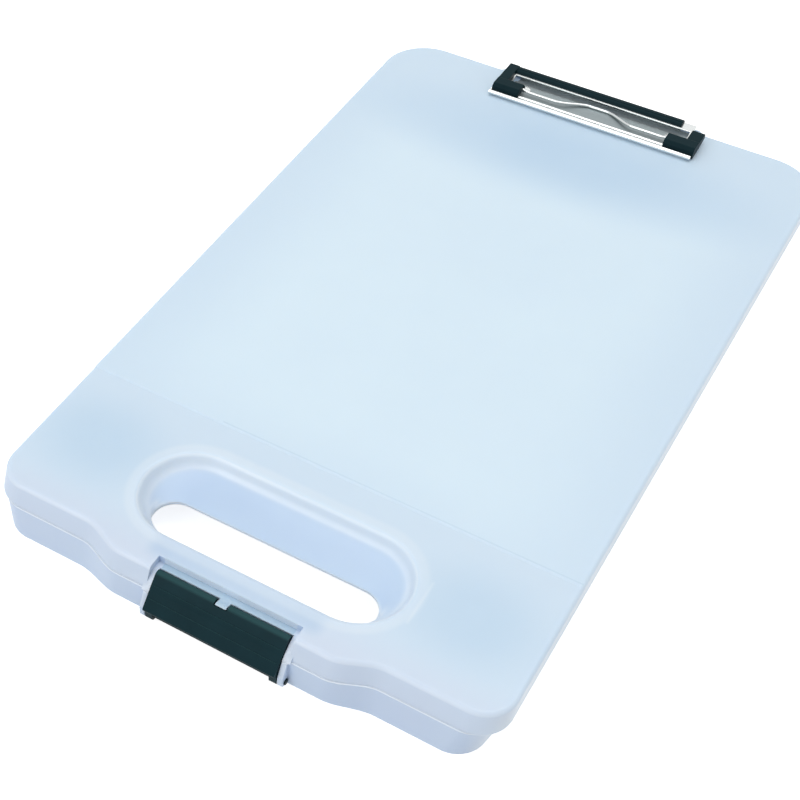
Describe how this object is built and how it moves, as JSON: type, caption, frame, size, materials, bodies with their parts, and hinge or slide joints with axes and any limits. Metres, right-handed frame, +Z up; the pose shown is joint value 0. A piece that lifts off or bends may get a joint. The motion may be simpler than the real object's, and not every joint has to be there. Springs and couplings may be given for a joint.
{
  "type": "storage clipboard box",
  "caption": "Shallow clipboard box with a hinged lid, dished hand slot, snap latch at the handle end and a low sprung clip at the hinge end.",
  "frame": {"origin": "middle of the footprint, on the surface the tray rests on", "axes": "+X across the box to the right, +Y along the box from the latch to the clip, +Z up through the lid"},
  "size_m": [0.24, 0.4148, 0.0325],
  "materials": {
    "box_plastic": "frosted translucent pale blue polypropylene",
    "black_plastic": "black moulded plastic, fine satin",
    "plated_steel": "nickel plated pressed steel",
    "spring_steel": "bright spring wire and pins"
  },
  "bodies": {
    "tray_body": {"base_tray": "box_plastic", "hinge_pin_left": "spring_steel", "hinge_pin_right": "spring_steel", "latch_pin": "black_plastic"},
    "lid_body": {"lid": "box_plastic", "clip_base_plate": "plated_steel", "spring_wire": "spring_steel", "rivet_left": "plated_steel", "rivet_right": "plated_steel", "rivet_washer_left": "plated_steel", "rivet_washer_right": "plated_steel"},
    "latch_body": {"latch": "black_plastic"},
    "jaw_body": {"clip_jaw_plate": "plated_steel", "corner_cap_left": "black_plastic", "corner_cap_right": "black_plastic", "lever_grip": "black_plastic"}
  },
  "joints": [
    {"name": "lid_hinge", "type": "hinge", "parent": "tray_body", "child": "lid_body", "pos_m": [0, 0.2042, 0.014], "axis": [-1, 0, 0], "range_deg": [0, 110]},
    {"name": "latch_pivot", "type": "hinge", "parent": "tray_body", "child": "latch_body", "pos_m": [0, -0.2031, 0.0038], "axis": [1, 0, 0], "range_deg": [0, 78]},
    {"name": "clip_pivot", "type": "hinge", "parent": "lid_body", "child": "jaw_body", "pos_m": [0, 0.1827, 0.0293], "axis": [-1, 0, 0], "range_deg": [0, 13], "stiffness_Nm_per_rad": 0.35, "springref_deg": -17.19}
  ]
}
